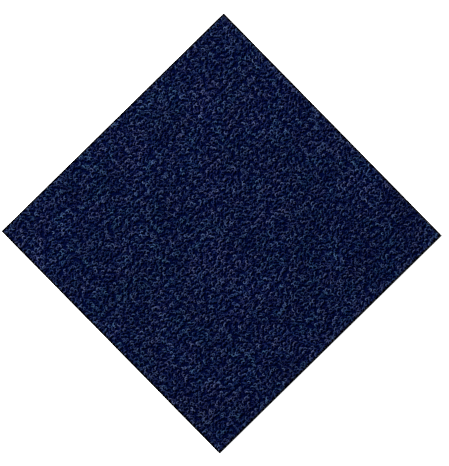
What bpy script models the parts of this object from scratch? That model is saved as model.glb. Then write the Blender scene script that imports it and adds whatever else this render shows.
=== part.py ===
"""Loop-pile carpet tile: a square of tufted loop pile bonded to a flexible backing.

Metres, +Z up. The origin is the centre of the underside, and the cut sides run along X and Y.
"""

import bmesh
import bpy

# Backing: a flat slab of filled bitumen or vinyl with a fleece face underneath
TILE_SIDE = 0.500
BACKING_THICKNESS = 0.0027
BACKING_CORNER_RADIUS = 0.0008
BACKING_CORNER_SEGMENTS = 3

# Pile: the tufted face, which stops just short of the backing's cut sides
PILE_THICKNESS = 0.0050
PILE_SETBACK = 0.0008
PILE_CORNER_RADIUS = 0.0022
PILE_CORNER_SEGMENTS = 4

# The outermost loops roll over, so the walking surface ends in a rounded rim
PILE_RIM_RADIUS = 0.0016
PILE_RIM_SEGMENTS = 4

# Glue line between the two layers
BOND_GAP = 0.0003

# Finishes
PILE_COLOUR = (0.018, 0.030, 0.105, 1.0)
PILE_ROUGHNESS = 0.95
BACKING_COLOUR = (0.012, 0.012, 0.013, 1.0)
BACKING_ROUGHNESS = 0.85


def clear_scene():
    """Removes whatever the open file holds."""
    for obj in list(bpy.data.objects):
        bpy.data.objects.remove(obj, do_unlink=True)


def plain_material(name, colour, roughness):
    """A non-metal Principled material of one colour."""
    material = bpy.data.materials.new(name)
    material.use_nodes = True
    shader = material.node_tree.nodes["Principled BSDF"]
    shader.inputs["Base Color"].default_value = colour
    shader.inputs["Roughness"].default_value = roughness
    shader.inputs["Metallic"].default_value = 0.0
    return material


def face_height(face):
    """How high the middle of a face is."""
    return face.calc_center_median().z


def top_edges(mesh):
    """The edges round the top face."""
    return list(max(mesh.faces, key=face_height).edges)


def upright_edges(mesh):
    """The edges that join the bottom face to the top one."""
    level = set(top_edges(mesh)) | set(min(mesh.faces, key=face_height).edges)
    return [edge for edge in mesh.edges if edge not in level]


def square_slab(side, thickness, corner_radius, corner_segments):
    """A square slab with rounded upright corners, centred on the Z axis, its underside at z = 0."""
    mesh = bmesh.new()
    bmesh.ops.create_cube(mesh, size=1.0)
    bmesh.ops.scale(mesh, vec=(side, side, thickness), verts=mesh.verts)
    bmesh.ops.translate(mesh, vec=(0.0, 0.0, thickness / 2), verts=mesh.verts)
    bmesh.ops.bevel(
        mesh,
        geom=upright_edges(mesh),
        offset=corner_radius,
        segments=corner_segments,
        profile=0.5,
        affect="EDGES",
        clamp_overlap=True,
    )
    return mesh


def new_object(name, mesh, material, height):
    """Turns a bmesh into a named object whose underside is at the given height."""
    data = bpy.data.meshes.new(name)
    mesh.to_mesh(data)
    mesh.free()
    data.materials.append(material)
    obj = bpy.data.objects.new(name, data)
    obj.location.z = height
    bpy.context.scene.collection.objects.link(obj)
    return obj


def make_backing():
    """The slab that lies on the floor and carries the pile."""
    mesh = square_slab(
        TILE_SIDE, BACKING_THICKNESS, BACKING_CORNER_RADIUS, BACKING_CORNER_SEGMENTS
    )
    material = plain_material("backing", BACKING_COLOUR, BACKING_ROUGHNESS)
    return new_object("backing", mesh, material, 0.0)


def make_pile():
    """The tufted face, as the solid that its loops fill, with a rounded rim."""
    side = TILE_SIDE - 2 * PILE_SETBACK
    mesh = square_slab(side, PILE_THICKNESS, PILE_CORNER_RADIUS, PILE_CORNER_SEGMENTS)
    bmesh.ops.bevel(
        mesh,
        geom=top_edges(mesh),
        offset=PILE_RIM_RADIUS,
        segments=PILE_RIM_SEGMENTS,
        profile=0.5,
        affect="EDGES",
        clamp_overlap=True,
    )
    material = plain_material("loop_pile", PILE_COLOUR, PILE_ROUGHNESS)
    pile = new_object("loop_pile", mesh, material, BACKING_THICKNESS + BOND_GAP)
    pile.data.shade_smooth()
    pile.data.set_sharp_from_angle(angle=0.9)
    return pile


def main():
    clear_scene()
    make_backing()
    make_pile()


main()
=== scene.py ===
"""The looks of a loop-pile carpet tile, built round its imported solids.

Metres, +Z up, in the tile's own frame: the cut sides run along X and Y, and the walking face looks up.
The pile is modelled yarn by yarn. Each tuft shows as four small curls of twisted yarn, with as many
lower ones between them, and all of them stand in the cloth they are tufted through.
"""

import math
from typing import NamedTuple

import bpy
import numpy as np
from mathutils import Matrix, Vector


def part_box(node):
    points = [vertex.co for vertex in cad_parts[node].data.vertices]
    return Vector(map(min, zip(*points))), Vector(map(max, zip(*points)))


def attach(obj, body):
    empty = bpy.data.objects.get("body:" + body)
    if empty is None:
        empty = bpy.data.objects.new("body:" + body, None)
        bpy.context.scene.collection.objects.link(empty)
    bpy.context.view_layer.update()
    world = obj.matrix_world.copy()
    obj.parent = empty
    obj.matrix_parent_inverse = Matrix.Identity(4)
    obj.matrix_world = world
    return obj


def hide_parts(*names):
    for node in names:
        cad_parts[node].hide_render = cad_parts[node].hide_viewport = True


MM = 0.001

# Tufts: rows along Y, about one tuft for each repeat that the photograph shows along a side
TUFTS_ACROSS = 35
TUFTS_ALONG = 37
CURLS_PER_TUFT_SIDE = 2
TUFT_GATHER = 0.12
TUFT_STEP = 0.30 * MM
SEED = 2429


class Layer(NamedTuple):
    """A layer of curls, each an open ring in plan that rises from the cloth and goes back into it.

    The grid's shift and jitter are shares of the distance between curls. Ring and yarn have a mean radius,
    a spread and limits, and the other pairs are the two ends of a range. Rings and sides make up a curl's
    mesh, and bands are the pieces that share out the layer.
    """

    name: str
    grid_shift: float
    jitter: float
    ring_radius: float
    ring_spread: float
    ring_limits: tuple
    arc_length: tuple
    yarn_radius: float
    yarn_spread: float
    yarn_limits: tuple
    crest_below_top: tuple
    rings: int
    sides: int
    bands: int


UPPER = Layer(
    name="upper",
    grid_shift=0.0,
    jitter=0.30,
    ring_radius=2.35 * MM,
    ring_spread=0.55 * MM,
    ring_limits=(1.7 * MM, 3.8 * MM),
    arc_length=(7.5 * MM, 12.5 * MM),
    yarn_radius=0.78 * MM,
    yarn_spread=0.12 * MM,
    yarn_limits=(0.65 * MM, 1.1 * MM),
    crest_below_top=(0.0 * MM, 0.8 * MM),
    rings=12,
    sides=5,
    bands=4,
)

LOWER = Layer(
    name="lower",
    grid_shift=0.5,
    jitter=0.30,
    ring_radius=2.3 * MM,
    ring_spread=0.4 * MM,
    ring_limits=(1.6 * MM, 3.2 * MM),
    arc_length=(8.0 * MM, 12.0 * MM),
    yarn_radius=0.95 * MM,
    yarn_spread=0.12 * MM,
    yarn_limits=(0.75 * MM, 1.25 * MM),
    crest_below_top=(0.7 * MM, 1.9 * MM),
    rings=9,
    sides=4,
    bands=2,
)

# What both layers share. A curl is centred on the lay, so it opens the other way. The lay drifts
# over the tile and spreads from curl to curl
LAY_DIRECTION = math.radians(172.0)
LAY_SPREAD = math.radians(35.0)
LAY_DRIFT = math.radians(36.0)
DRIFT_WAVES = 14
DRIFT_WAVELENGTHS = (22.0 * MM, 70.0 * MM)
LONGEST_SWEEP = math.radians(320.0)
RING_SQUASH = 0.22
RING_TILT = 0.9 * MM
FOOT_SHARE = 0.24
WOBBLE = 0.12 * MM
WOBBLE_WAVES = 3.0
WOBBLE_SHIFT = 5.0
EDGE_CLEARANCE = 0.25 * MM

# The yarn: two plies twisted round each other
PLIES = 2
PLY_DEPTH = 0.07
RIDGE_SPACING = 3.4 * MM

# Each curl's cell in the map that the finish is baked to: its wall, then its two ends, inside a margin
WALL_SHARE = 0.9
END_SHARE = 0.08
END_ROWS = (0.25, 0.75)
MAP_MARGIN = 0.03

# The woven cloth that the yarn is tufted through
CLOTH_THICKNESS = 0.30 * MM
CLOTH_LIFT = 0.02 * MM

# The Mix node's inputs and output for colours
MIX_SHARE = 0
MIX_FIRST = 6
MIX_SECOND = 7
MIX_RESULT = 2

# All noise is equally rough, and hardly ever leaves this range
NOISE_ROUGHNESS = 0.6
NOISE_RANGE = (0.3, 0.7)

# The yarn's hue: mostly that of the patch it lies in, the rest the curl's own
OWN_HUE = 0.1
HUE_PATCH_SIZE = 20.0 * MM
LARGE_PATCH_SCALE = 4.0
SMALL_PATCH_SHARE = 0.65
HUE_PATCH_RANGE = (0.38, 0.62)

# The yarn's colours, linear, from teal through navy to purple-grey: its dark body, and a paler one that is
# partly the yarn's own and partly a painted highlight
YARN_DARK = (
    (0.00, (0.0001, 0.0082, 0.035)),
    (0.35, (0.0003, 0.0051, 0.037)),
    (0.55, (0.0006, 0.0051, 0.034)),
    (0.75, (0.0009, 0.0047, 0.036)),
    (1.00, (0.0018, 0.0043, 0.033)),
)
PALE_YARN_AND_HIGHLIGHT = (
    (0.00, (0.0335, 0.0790, 0.148)),
    (0.35, (0.0400, 0.0690, 0.151)),
    (0.55, (0.0460, 0.0720, 0.143)),
    (0.75, (0.0500, 0.0680, 0.143)),
    (1.00, (0.0585, 0.0690, 0.139)),
)
# Painted shade: the dark navy that the yarn is painted towards its roots, low in the pile
ROOT_PAINTED_SHADE = (0.0000, 0.0009, 0.022, 1.0)

# Painted shade: the yarn's colour comes in between these shares of the pile's height, and below them it is
# painted dark.
# Painted highlight: the pale colour shows only where the yarn faces up as well, as the sine of the way round
# it passes through this range
LIT_HEIGHTS = (0.45, 0.95)
LIT_CROWN = (0.2, 0.95)

# What makes a crest paler or darker: its curl, painted shade in the ply's groove, the strand and the fibres
OWN_LIGHT_MOST = 1.5
OWN_LIGHT_POWER = 2.0
GROOVE_PAINTED_SHADE = (-0.30, 0.20)
STRAND_EDGE = 0.6
STRAND_LIGHT = 0.12
FIBRE_LIGHT = 0.30

# Patches of lighter and darker pile
LIGHT_PATCH_SIZE = 70.0 * MM
LIGHT_PATCH_DEPTH = 0.20

# Fibres in the yarn, its relief and its gloss
FIBRES_ROUND = 6.0
FIBRE_SHIFT = 100.0
FIBRE_RELIEF = 0.7
YARN_RELIEF = 0.40 * MM
YARN_RELIEF_STRENGTH = 0.6
YARN_ROUGHNESS = 0.55
YARN_SPECULAR = 0.05

# The dark rim fades in between these two distances from the pile's sides
RIM_FADE = (2.4 * MM, 2.9 * MM)
RIM_SHADE = 0.02

# Tapes of the woven cloth, in a near-black navy that is painted shade down between the curls
TAPE_WIDTH = 1.3 * MM
TAPE_WEAR_SIZE = 4.0 * MM
TAPE_WEAR = 0.25
TAPE_RELIEF = 0.15 * MM
TAPE_ROUGHNESS = 0.9
TAPE_DEEP = (0.0001, 0.0006, 0.008, 1.0)
TAPE_RAISED = (0.0003, 0.0016, 0.017, 1.0)

# The backing's compound, with a scrim of glass yarn in it
COMPOUND = (0.0022, 0.0022, 0.0025, 1.0)
COMPOUND_GRAIN = (0.010, 0.010, 0.011, 1.0)
GRAIN_SIZE = 0.5 * MM
GRAIN_RANGE = (0.62, 0.74)
SCRIM = (0.020, 0.020, 0.019, 1.0)
SCRIM_HEIGHT = 1.5 * MM
SCRIM_THICKNESS = 0.20 * MM
SCRIM_COVER = 0.7
SCRIM_YARN_SIZE = 1.4 * MM
SCRIM_YARN_RANGE = (0.45, 0.55)

# The fleece pressed into the backing's underside. FLEECE_FIBRE is a fibre's width and length
FLEECE_DEEP = (0.006, 0.006, 0.007, 1.0)
FLEECE_RAISED = (0.038, 0.038, 0.040, 1.0)
FLEECE_THICKNESS = 0.35 * MM
FLEECE_SOLID_SHARE = 0.7
FLEECE_FIBRE = (0.35 * MM, 5.0 * MM)
FLEECE_RANGE = (0.45, 0.75)
FLEECE_CLOUD_SIZE = 30.0 * MM
FLEECE_CLOUD = 0.2

# The gloss and the relief of both
COMPOUND_ROUGHNESS = 0.75
FLEECE_ROUGHNESS = 0.95
BACKING_SPECULAR = 0.15
BACKING_RELIEF = 0.12 * MM

# The studio: a floor far larger than the tile, just under it, a soft key light and an even fill
FLOOR_HALF = 30.0
FLOOR_DROP = 0.2 * MM
FLOOR_COLOUR = (0.9, 0.9, 0.9, 1.0)
FLOOR_ROUGHNESS = 0.9
FLOOR_GLOW = 0.9
KEY_PLACE = (-2.9, 0.1, 3.0)
KEY_SIZE = 0.9
KEY_POWER = 545.0
STUDIO_COLOUR = (0.82, 0.90, 1.0, 1.0)
STUDIO_STRENGTH = 0.42

# Where the photograph shows the tile, in pixels and degrees, for a camera that looks straight down
PICTURE_SIZE = (449, 466)
PICTURE_TILE_SIDE = 311.90
PICTURE_TILE_CENTRE = (221.61, 233.36)
PICTURE_TILE_TURN = 45.54
LENS = 135.0
SENSOR = 36.0

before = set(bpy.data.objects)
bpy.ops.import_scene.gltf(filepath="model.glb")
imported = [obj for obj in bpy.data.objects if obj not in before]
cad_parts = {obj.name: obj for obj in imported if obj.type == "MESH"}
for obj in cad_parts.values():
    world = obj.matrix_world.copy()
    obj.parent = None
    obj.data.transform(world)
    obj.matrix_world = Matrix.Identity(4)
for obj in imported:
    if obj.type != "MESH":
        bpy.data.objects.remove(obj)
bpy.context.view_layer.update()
pile_low, pile_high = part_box("loop_pile")
backing_low, backing_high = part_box("backing")


def new_material(name):
    """A node material, its tree and its Principled shader."""
    material = bpy.data.materials.new(name)
    material.use_nodes = True
    shader = material.node_tree.nodes["Principled BSDF"]
    return material, material.node_tree, shader


def feed(tree, socket, value):
    """Links a socket to another node's output, or sets it to a plain value."""
    if isinstance(value, bpy.types.NodeSocket):
        tree.links.new(value, socket)
    else:
        socket.default_value = value


def add(tree, kind, feeds, **settings):
    """Adds a node with its settings and feeds its inputs. Gives its first output."""
    node = tree.nodes.new(kind)
    for name, value in settings.items():
        setattr(node, name, value)
    for key, value in feeds.items():
        feed(tree, node.inputs[key], value)
    return node.outputs[0]


def maths(tree, operation, first, second=0.0):
    """One sum on one or two values or outputs."""
    return add(tree, "ShaderNodeMath", {0: first, 1: second}, operation=operation)


def wave(tree, operation, turns):
    """The sine or cosine of a number of turns."""
    return maths(tree, operation, maths(tree, "MULTIPLY", turns, math.tau))


def split(tree, vector):
    """The X, Y and Z of a vector."""
    node = tree.nodes.new("ShaderNodeSeparateXYZ")
    tree.links.new(vector, node.inputs[0])
    return node.outputs


def own_place(tree):
    """Where a point is on its piece, in metres."""
    return tree.nodes.new("ShaderNodeTexCoord").outputs["Object"]


def span(tree, value, from_low, from_high, to_low, to_high):
    """Maps one range of values onto another and holds the ends."""
    feeds = {
        "Value": value,
        "From Min": from_low,
        "From Max": from_high,
        "To Min": to_low,
        "To Max": to_high,
    }
    return add(tree, "ShaderNodeMapRange", feeds)


def scaled(tree, colour, amount):
    """A colour made lighter or darker."""
    return add(tree, "ShaderNodeVectorMath", {"Vector": colour, "Scale": amount}, operation="SCALE")


def blend(tree, share, first, second):
    """A mix of two colours."""
    node = tree.nodes.new("ShaderNodeMix")
    node.data_type = "RGBA"
    feed(tree, node.inputs[MIX_SHARE], share)
    feed(tree, node.inputs[MIX_FIRST], first)
    feed(tree, node.inputs[MIX_SECOND], second)
    return node.outputs[MIX_RESULT]


def noise(tree, place, size, detail=2.0):
    """Cloudy noise whose lumps have about the given size."""
    feeds = {"Vector": place, "Scale": 1.0 / size, "Detail": detail, "Roughness": NOISE_ROUGHNESS}
    return add(tree, "ShaderNodeTexNoise", feeds)


def attribute(tree, name):
    """A number that the mesh carries."""
    node = tree.nodes.new("ShaderNodeAttribute")
    node.attribute_name = name
    return node.outputs["Fac"]


def ramp(tree, value, stops):
    """A colour ramp with (position, colour) stops."""
    node = tree.nodes.new("ShaderNodeValToRGB")
    elements = node.color_ramp.elements
    elements[0].position = stops[0][0]
    elements[1].position = stops[-1][0]
    for position, _ in stops[1:-1]:
        elements.new(position)
    for element, (position, colour) in zip(elements, stops):
        element.color = (*colour, 1.0)
    tree.links.new(value, node.inputs["Fac"])
    return node.outputs["Color"]


def raise_by(tree, shader, height, distance, strength=1.0):
    """Gives a surface relief, as far as the distance where the height is 1."""
    feeds = {"Height": height, "Distance": distance, "Strength": strength}
    feed(tree, shader.inputs["Normal"], add(tree, "ShaderNodeBump", feeds))


def new_object(name, mesh, material):
    """Puts a mesh in one material into the scene."""
    mesh.materials.append(material)
    obj = bpy.data.objects.new(name, mesh)
    bpy.context.scene.collection.objects.link(obj)
    return obj


def curl_centres(rng, layer):
    """Where the curls stand, in plan: a jittered grid whose points draw together in tufts of four.

    Also gives each curl's cell in the grid, and how far along Y that is as a share of the side.
    """
    counts = np.array([TUFTS_ACROSS, TUFTS_ALONG]) * CURLS_PER_TUFT_SIDE
    low = np.array(pile_low[:2])
    pitch = (np.array(pile_high[:2]) - low) / counts
    column, row = np.meshgrid(np.arange(counts[0]), np.arange(counts[1]), indexing="ij")
    cell = np.stack([column.ravel(), row.ravel()], axis=1)
    centre = low + (cell + 0.5) * pitch
    tuft = low + (cell // CURLS_PER_TUFT_SIDE + 0.5) * CURLS_PER_TUFT_SIDE * pitch
    centre += (tuft - centre) * TUFT_GATHER
    centre += (rng.uniform(-layer.jitter, layer.jitter, centre.shape) + layer.grid_shift) * pitch
    return centre, cell, cell[:, 1] / counts[1]


def drift(rng, places):
    """A smooth random value of about unit size at each place, the sum of plane waves that run every way."""
    way = rng.uniform(0.0, math.tau, DRIFT_WAVES)
    length = rng.uniform(*DRIFT_WAVELENGTHS, DRIFT_WAVES)
    phase = rng.uniform(0.0, math.tau, DRIFT_WAVES)
    along = places @ np.stack([np.cos(way), np.sin(way)])
    return np.sin(along * math.tau / length + phase).sum(axis=1) * math.sqrt(2.0 / DRIFT_WAVES)


def curl_lines(rng, layer, centre, cell):
    """The centre lines of all curls, as curls x rings x 3, their outward directions and yarn radii."""
    count = len(centre)
    radius = np.clip(rng.normal(layer.ring_radius, layer.ring_spread, count), *layer.ring_limits)
    yarn = np.clip(rng.normal(layer.yarn_radius, layer.yarn_spread, count), *layer.yarn_limits)
    sweep = np.minimum(rng.uniform(*layer.arc_length, count) / radius, LONGEST_SWEEP)
    lay = LAY_DIRECTION + LAY_DRIFT * drift(np.random.default_rng(SEED), centre)
    start = lay + rng.normal(0.0, LAY_SPREAD, count) - sweep / 2.0
    squash = rng.uniform(0.0, RING_SQUASH, count)
    squash_way = rng.uniform(0.0, math.pi, count)
    tilt = rng.uniform(0.0, RING_TILT, count)
    tilt_way = rng.uniform(0.0, math.tau, count)
    crest = pile_high.z - yarn * (1.0 + PLY_DEPTH) - rng.uniform(*layer.crest_below_top, count)
    crest -= TUFT_STEP * (cell % CURLS_PER_TUFT_SIDE).sum(axis=1)

    share = np.linspace(0.0, 1.0, layer.rings)[None, :]
    angle = start[:, None] + sweep[:, None] * share
    reach = radius[:, None] * (1.0 + squash[:, None] * np.cos(2.0 * (angle - squash_way[:, None])))
    reach = reach + WOBBLE * np.sin(WOBBLE_WAVES * angle + start[:, None] * WOBBLE_SHIFT)
    outward = np.stack([np.cos(angle), np.sin(angle)], axis=2)
    plan = centre[:, None, :] + outward * reach[:, :, None]

    foot = np.clip(np.minimum(share, 1.0 - share) / FOOT_SHARE, 0.0, 1.0)
    rise = np.sin(foot * math.pi / 2.0)
    lean = tilt[:, None] * 0.5 * (np.cos(angle - tilt_way[:, None]) - 1.0)
    height = pile_low.z + (crest[:, None] - pile_low.z + lean) * rise

    # Curls at the border move in until their yarn stays inside the pile's sides
    margin = (yarn * (1.0 + PLY_DEPTH) + EDGE_CLEARANCE)[:, None]
    for axis in (0, 1):
        over = plan[:, :, axis].max(axis=1, keepdims=True) + margin - pile_high[axis]
        under = pile_low[axis] - plan[:, :, axis].min(axis=1, keepdims=True) + margin
        plan[:, :, axis] += np.maximum(under, 0.0) - np.maximum(over, 0.0)
    line = np.concatenate([plan, height[:, :, None]], axis=2)
    return line, outward, yarn


def curl_tubes(rng, layer, line, outward, yarn):
    """Wraps a twisted yarn round each centre line. Gives its points and the turns of its twist."""
    tangent = np.gradient(line, axis=1)
    tangent /= np.linalg.norm(tangent, axis=2, keepdims=True)
    side = np.concatenate([outward, np.zeros_like(outward[:, :, :1])], axis=2)
    side -= tangent * (side * tangent).sum(axis=2, keepdims=True)
    side /= np.linalg.norm(side, axis=2, keepdims=True)
    up = np.cross(side, tangent)
    step = np.linalg.norm(np.diff(line, axis=1), axis=2)
    along = np.concatenate([np.zeros((len(line), 1)), np.cumsum(step, axis=1)], axis=1)
    turn = np.arange(layer.sides) * math.tau / layer.sides
    twist = along / RIDGE_SPACING + rng.uniform(0.0, 1.0, len(line))[:, None]
    swell = 1.0 + PLY_DEPTH * np.cos(PLIES * turn[None, None, :] - twist[:, :, None] * math.tau)
    reach = yarn[:, None, None] * swell
    points = (
        line[:, :, None, :]
        + side[:, :, None, :] * (np.cos(turn) * reach)[..., None]
        + up[:, :, None, :] * (np.sin(turn) * reach)[..., None]
    )
    return points, twist


def tube_faces(layer, curls):
    """Four-sided faces along each tube and a many-sided one on each end."""
    ring = np.arange(layer.rings - 1)[:, None] * layer.sides
    following = ring + layer.sides
    here = np.arange(layer.sides)[None, :]
    after = (here + 1) % layer.sides
    wall = np.stack([ring + here, following + here, following + after, ring + after], axis=2)
    first = here[0]
    last = (layer.rings - 1) * layer.sides + first[::-1]
    step = np.arange(curls)[:, None, None] * layer.rings * layer.sides
    walls = (wall.reshape(-1, 4)[None] + step).reshape(-1, 4)
    ends = (np.stack([first, last])[None] + step).reshape(-1, layer.sides)
    return walls, ends


def wall_corners(layer):
    """Ring and side numbers of the wall's face corners, the last side counted on past the first."""
    ring = np.arange(layer.rings - 1)[:, None] + np.zeros(layer.sides, int)
    side = np.arange(layer.sides)[None, :] + np.zeros((layer.rings - 1, 1), int)
    rings = np.stack([ring, ring + 1, ring + 1, ring], axis=2).ravel()
    sides = np.stack([side, side, side + 1, side + 1], axis=2).ravel()
    return rings, sides


def bake_map(layer, curls):
    """Map coordinates for all face corners, in the order of tube_faces, with a square cell for each curl."""
    across = math.ceil(math.sqrt(curls))
    number = np.arange(curls)
    origin = np.stack([number % across, number // across], axis=1) / across
    rings, sides = wall_corners(layer)
    wall = np.stack([rings / (layer.rings - 1) * WALL_SHARE, sides / layer.sides], axis=1)
    turn = np.arange(layer.sides) * math.tau / layer.sides
    disc = np.stack([np.cos(turn), np.sin(turn)], axis=1) * END_SHARE / 2.0
    middle = (1.0 + WALL_SHARE) / 2.0
    ends = np.concatenate([disc + (middle, row) for row in END_ROWS])

    def placed(local):
        inner = MAP_MARGIN + local * (1.0 - 2.0 * MAP_MARGIN)
        return (origin[:, None, :] + inner[None] / across).reshape(-1, 2)

    return np.concatenate([placed(wall), placed(ends)])


def yarn_map(layer, twist):
    """For all face corners, the turns of the twist so far and the share of the way round the yarn."""
    rings, sides = wall_corners(layer)
    around = np.broadcast_to(sides / layer.sides, (len(twist), len(sides)))
    wall = np.stack([twist[:, rings], around], axis=2)
    around = np.broadcast_to(np.arange(layer.sides) / layer.sides, (len(twist), 2, layer.sides))
    ends = np.stack([np.repeat(twist[:, [0, -1], None], layer.sides, axis=2), around], axis=3)
    return np.concatenate([wall.reshape(-1, 2), ends.reshape(-1, 2)])


def curl_mesh(name, layer, points, twist, own):
    """One mesh of many curls, with what the yarn's finish needs to know of each."""
    curls = len(points)
    walls, ends = tube_faces(layer, curls)
    corners = np.concatenate([walls.ravel(), ends.ravel()])
    sizes = np.concatenate([np.full(len(walls), 4), np.full(len(ends), layer.sides)])
    starts = np.concatenate([[0], np.cumsum(sizes)[:-1]])
    mesh = bpy.data.meshes.new(name)
    mesh.vertices.add(points.size // 3)
    mesh.vertices.foreach_set("co", points.astype(np.float32).ravel())
    mesh.loops.add(len(corners))
    mesh.loops.foreach_set("vertex_index", corners.astype(np.int32))
    mesh.polygons.add(len(sizes))
    mesh.polygons.foreach_set("loop_start", starts.astype(np.int32))
    mesh.polygons.foreach_set("use_smooth", np.ones(len(sizes), bool))
    mesh.update(calc_edges=True)

    height = (points[..., 2] - pile_low.z) / (pile_high.z - pile_low.z)
    carried = {
        "yarn_hue": np.repeat(own[:, 0], layer.rings * layer.sides),
        "yarn_light": np.repeat(own[:, 1], layer.rings * layer.sides),
        "yarn_height": height,
    }
    for label, values in carried.items():
        held = mesh.attributes.new(label, "FLOAT", "POINT")
        held.data.foreach_set("value", values.astype(np.float32).ravel())
    for label, places in {"OFBake": bake_map(layer, curls), "yarn": yarn_map(layer, twist)}.items():
        layout = mesh.uv_layers.new(name=label)
        layout.data.foreach_set("uv", places.astype(np.float32).ravel())
    mesh.validate()
    return mesh


def make_layer(rng, layer, material):
    """One layer of the pile, in bands that cross the tile from side to side."""
    centre, cell, row_share = curl_centres(rng, layer)
    line, outward, yarn = curl_lines(rng, layer, centre, cell)
    points, twist = curl_tubes(rng, layer, line, outward, yarn)
    own = rng.uniform(0.0, 1.0, (len(centre), 2))
    band_of = (row_share * layer.bands).astype(int)
    for band in range(layer.bands):
        chosen = band_of == band
        name = f"pile_{layer.name}_{band + 1}"
        mesh = curl_mesh(name, layer, points[chosen], twist[chosen], own[chosen])
        piece = new_object(name, mesh, material)
        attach(piece, "root")
        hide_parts("loop_pile")


def yarn_fibres(tree, lead, turns):
    """Fine streaks that run along the plies, shifted from curl to curl."""
    shift = maths(tree, "MULTIPLY", attribute(tree, "yarn_hue"), FIBRE_SHIFT)
    across = {
        0: maths(tree, "MULTIPLY", wave(tree, "COSINE", lead), FIBRES_ROUND),
        1: maths(tree, "MULTIPLY", wave(tree, "SINE", lead), FIBRES_ROUND),
        2: maths(tree, "ADD", turns, shift),
    }
    return noise(tree, add(tree, "ShaderNodeCombineXYZ", across), 1.0)


def rim_shade(tree, place):
    """How bright the pile is: full, but for a nearly black rim along the tile's sides."""
    parts = split(tree, place)
    reach = maths(
        tree,
        "MAXIMUM",
        maths(tree, "ABSOLUTE", parts["X"]),
        maths(tree, "ABSOLUTE", parts["Y"]),
    )
    return span(tree, reach, pile_high.x - RIM_FADE[1], pile_high.x - RIM_FADE[0], 1.0, RIM_SHADE)


def yarn_hue(tree, place):
    """A number from 0, teal, to 1, purple-grey: that of a patch, with a little of the curl's own."""
    small = noise(tree, place, HUE_PATCH_SIZE)
    large = noise(tree, place, HUE_PATCH_SIZE * LARGE_PATCH_SCALE)
    small_part = maths(tree, "MULTIPLY", small, SMALL_PATCH_SHARE)
    large_part = maths(tree, "MULTIPLY", large, 1.0 - SMALL_PATCH_SHARE)
    patch = span(tree, maths(tree, "ADD", small_part, large_part), *HUE_PATCH_RANGE, 0.0, 1.0)
    own_part = maths(tree, "MULTIPLY", attribute(tree, "yarn_hue"), OWN_HUE)
    return maths(tree, "ADD", maths(tree, "MULTIPLY", patch, 1.0 - OWN_HUE), own_part)


def pale_share(tree, ply, strand, fibre):
    """How much of the pale colour a crest shows: its curl's own, varied by painted shade in the grooves, and
    by strands and fibres.
    """
    own_light = maths(tree, "POWER", attribute(tree, "yarn_light"), OWN_LIGHT_POWER)
    own_light = maths(tree, "MULTIPLY", own_light, OWN_LIGHT_MOST)
    # Painted shade in the grooves between the plies, paler along the plies
    groove = span(tree, ply, 0.0, 1.0, *GROOVE_PAINTED_SHADE)
    strand_part = span(tree, strand, -STRAND_EDGE, STRAND_EDGE, -STRAND_LIGHT, STRAND_LIGHT)
    fibre_part = span(tree, fibre, *NOISE_RANGE, -FIBRE_LIGHT, FIBRE_LIGHT)
    finer = maths(tree, "ADD", groove, maths(tree, "ADD", strand_part, fibre_part))
    return maths(tree, "ADD", own_light, finer)


def yarn_material():
    """Navy yarn, with painted shade towards the roots and a painted highlight along its up-facing crown, in
    patches of hue and lightness.
    """
    material, tree, shader = new_material("navy_yarn")
    place = own_place(tree)
    skin = split(tree, add(tree, "ShaderNodeUVMap", {}, uv_map="yarn"))
    turns = skin["X"]
    around = skin["Y"]

    lead = maths(tree, "SUBTRACT", maths(tree, "MULTIPLY", around, PLIES), turns)
    ply = span(tree, wave(tree, "COSINE", lead), -1.0, 1.0, 0.0, 1.0)
    half_lead = maths(tree, "SUBTRACT", around, maths(tree, "DIVIDE", turns, PLIES))
    strand = wave(tree, "COSINE", half_lead)
    fibre = yarn_fibres(tree, half_lead, turns)

    hue = yarn_hue(tree, place)
    dark = ramp(tree, hue, YARN_DARK)
    crest = blend(tree, pale_share(tree, ply, strand, fibre), dark, ramp(tree, hue, PALE_YARN_AND_HIGHLIGHT))
    # Painted shade: low in the pile the yarn is painted in the root colour
    clear_of_painted_shade = span(tree, attribute(tree, "yarn_height"), *LIT_HEIGHTS, 0.0, 1.0)
    # Painted highlight: the pale colour shows only on the yarn's up-facing side, high in the pile
    crown = span(tree, wave(tree, "SINE", around), *LIT_CROWN, 0.0, 1.0)
    body = blend(tree, clear_of_painted_shade, ROOT_PAINTED_SHADE, dark)
    colour = blend(tree, maths(tree, "MULTIPLY", clear_of_painted_shade, crown), body, crest)

    cloud = noise(tree, place, LIGHT_PATCH_SIZE)
    shade = span(tree, cloud, *NOISE_RANGE, 1.0 - LIGHT_PATCH_DEPTH, 1.0 + LIGHT_PATCH_DEPTH)
    shade = maths(tree, "MULTIPLY", shade, rim_shade(tree, place))
    feed(tree, shader.inputs["Base Color"], scaled(tree, colour, shade))

    relief = maths(tree, "ADD", ply, maths(tree, "MULTIPLY", fibre, FIBRE_RELIEF))
    raise_by(tree, shader, relief, YARN_RELIEF, YARN_RELIEF_STRENGTH)
    shader.inputs["Roughness"].default_value = YARN_ROUGHNESS
    shader.inputs["Specular IOR Level"].default_value = YARN_SPECULAR
    return material


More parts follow.
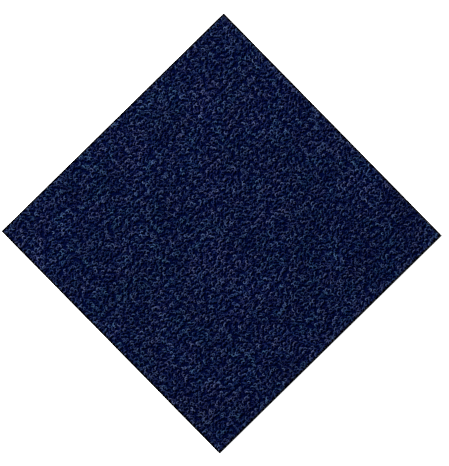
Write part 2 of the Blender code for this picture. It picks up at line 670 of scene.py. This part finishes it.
def cloth_material():
    """Plain weave of flat tapes, painted near-black navy as the shade between the curls, as dark as the
    yarn's roots.
    """
    material, tree, shader = new_material("primary_cloth")
    place = own_place(tree)
    parts = split(tree, place)
    warp = maths(tree, "SINE", maths(tree, "MULTIPLY", parts["X"], math.pi / TAPE_WIDTH))
    weft = maths(tree, "SINE", maths(tree, "MULTIPLY", parts["Y"], math.pi / TAPE_WIDTH))
    weave = span(tree, maths(tree, "MULTIPLY", warp, weft), -1.0, 1.0, 0.0, 1.0)
    wear = span(tree, noise(tree, place, TAPE_WEAR_SIZE), *NOISE_RANGE, -TAPE_WEAR, TAPE_WEAR)
    # Painted shade: the cloth's near-black weave stands for the shade between the curls
    colour = blend(tree, maths(tree, "ADD", weave, wear), TAPE_DEEP, TAPE_RAISED)
    feed(tree, shader.inputs["Base Color"], scaled(tree, colour, rim_shade(tree, place)))
    raise_by(tree, shader, weave, TAPE_RELIEF)
    shader.inputs["Roughness"].default_value = TAPE_ROUGHNESS
    shader.inputs["Specular IOR Level"].default_value = 0.0
    return material


def square(half):
    """The corners of a square round the origin, in plan."""
    return [(-half, -half), (half, -half), (half, half), (-half, half)]


def make_cloth():
    """The thin woven cloth that the yarn is tufted through."""
    half = pile_high.x
    low = backing_high.z + CLOTH_LIFT
    high = low + CLOTH_THICKNESS
    corners = [(x, y, z) for z in (low, high) for x, y in square(half)]
    faces = [(3, 2, 1, 0), (4, 5, 6, 7), (0, 1, 5, 4), (1, 2, 6, 5), (2, 3, 7, 6), (3, 0, 4, 7)]
    mesh = bpy.data.meshes.new("primary_cloth")
    mesh.from_pydata(corners, [], faces)
    piece = new_object("primary_cloth", mesh, cloth_material())
    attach(piece, "root")


def stretched_noise(tree, place, sizes):
    """Noise whose lumps are as long along X and Y as the two sizes say."""
    scale = (1.0 / sizes[0], 1.0 / sizes[1], 1.0 / sizes[0])
    stretched = add(tree, "ShaderNodeVectorMath", {0: place, 1: scale}, operation="MULTIPLY")
    return noise(tree, stretched, 1.0, detail=1.0)


def compound_colour(tree, place, height, grain):
    """Black filled compound with paler grains and a scrim in it."""
    compound = blend(tree, grain, COMPOUND, COMPOUND_GRAIN)
    off_scrim = maths(tree, "ABSOLUTE", maths(tree, "SUBTRACT", height, SCRIM_HEIGHT))
    in_scrim = span(tree, off_scrim, SCRIM_THICKNESS / 4.0, SCRIM_THICKNESS / 2.0, SCRIM_COVER, 0.0)
    ends = span(tree, noise(tree, place, SCRIM_YARN_SIZE), *SCRIM_YARN_RANGE, 0.0, 1.0)
    return blend(tree, maths(tree, "MULTIPLY", in_scrim, ends), compound, SCRIM)


def backing_material():
    """The compound, and the matted fleece pressed into its underside."""
    material, tree, shader = new_material("backing_compound")
    place = own_place(tree)
    height = split(tree, place)["Z"]
    grain = span(tree, noise(tree, place, GRAIN_SIZE), *GRAIN_RANGE, 0.0, 1.0)
    compound = compound_colour(tree, place, height, grain)

    along = stretched_noise(tree, place, FLEECE_FIBRE)
    across = stretched_noise(tree, place, FLEECE_FIBRE[::-1])
    matted = span(tree, maths(tree, "MAXIMUM", along, across), *FLEECE_RANGE, 0.0, 1.0)
    cloud = span(tree, noise(tree, place, FLEECE_CLOUD_SIZE), *NOISE_RANGE, -FLEECE_CLOUD, FLEECE_CLOUD)
    fleece = blend(tree, maths(tree, "ADD", matted, cloud), FLEECE_DEEP, FLEECE_RAISED)

    under = span(tree, height, FLEECE_THICKNESS * FLEECE_SOLID_SHARE, FLEECE_THICKNESS, 1.0, 0.0)
    feed(tree, shader.inputs["Base Color"], blend(tree, under, compound, fleece))
    feed(tree, shader.inputs["Roughness"], span(tree, under, 0.0, 1.0, COMPOUND_ROUGHNESS, FLEECE_ROUGHNESS))
    shader.inputs["Specular IOR Level"].default_value = BACKING_SPECULAR
    raise_by(tree, shader, blend(tree, under, grain, matted), BACKING_RELIEF)
    return material


def make_backing():
    """Gives the backing's solid its finish."""
    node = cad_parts["backing"]
    node.data.materials.clear()
    node.data.materials.append(backing_material())


def make_floor():
    """A plain white floor that glows like a light table."""
    mesh = bpy.data.meshes.new("floor")
    mesh.from_pydata([(x, y, 0.0) for x, y in square(FLOOR_HALF)], [], [(0, 1, 2, 3)])
    material, tree, shader = new_material("white_floor")
    shader.inputs["Base Color"].default_value = FLOOR_COLOUR
    shader.inputs["Roughness"].default_value = FLOOR_ROUGHNESS
    shader.inputs["Emission Color"].default_value = (1.0, 1.0, 1.0, 1.0)
    shader.inputs["Emission Strength"].default_value = FLOOR_GLOW
    floor = new_object("floor", mesh, material)
    floor.location.z = -FLOOR_DROP


def make_key():
    """A square soft light from the picture's upper left, low enough to model the curls."""
    data = bpy.data.lights.new("key", "AREA")
    data.size = KEY_SIZE
    data.energy = KEY_POWER
    light = bpy.data.objects.new("key", data)
    light.location = KEY_PLACE
    light.rotation_euler = (-Vector(KEY_PLACE)).to_track_quat("-Z", "Y").to_euler()
    bpy.context.scene.collection.objects.link(light)


def make_studio():
    """An even, slightly cool light from all round, which fills the shadows."""
    world = bpy.data.worlds.new("studio")
    world.use_nodes = True
    world.node_tree.nodes["Background"].inputs["Color"].default_value = STUDIO_COLOUR
    world.node_tree.nodes["Background"].inputs["Strength"].default_value = STUDIO_STRENGTH
    bpy.context.scene.world = world


def make_camera():
    """Looks straight down, with the tile as large, turned and placed as in the photograph."""
    side = backing_high.x - backing_low.x
    scale = side / PICTURE_TILE_SIDE
    turn = math.radians(PICTURE_TILE_TURN)
    right = Vector((math.cos(turn), math.sin(turn), 0.0))
    up = Vector((-math.sin(turn), math.cos(turn), 0.0))
    shift_right = (PICTURE_SIZE[0] / 2.0 - PICTURE_TILE_CENTRE[0]) * scale
    shift_up = (PICTURE_TILE_CENTRE[1] - PICTURE_SIZE[1] / 2.0) * scale
    data = bpy.data.cameras.new("camera")
    data.lens = LENS
    data.sensor_width = SENSOR
    camera = bpy.data.objects.new("camera", data)
    distance = max(PICTURE_SIZE) * scale * LENS / SENSOR
    camera.location = right * shift_right + up * shift_up + Vector((0.0, 0.0, backing_high.z + distance))
    camera.rotation_euler = (0.0, 0.0, turn)
    bpy.context.scene.collection.objects.link(camera)
    bpy.context.scene.camera = camera


def make_pile():
    """Both layers of curls, in one yarn."""
    rng = np.random.default_rng(SEED)
    material = yarn_material()
    for layer in (UPPER, LOWER):
        make_layer(rng, layer, material)


make_camera()
make_key()
make_studio()
make_floor()
make_backing()
make_cloth()
make_pile()
bpy.context.scene.view_settings.view_transform = "Standard"
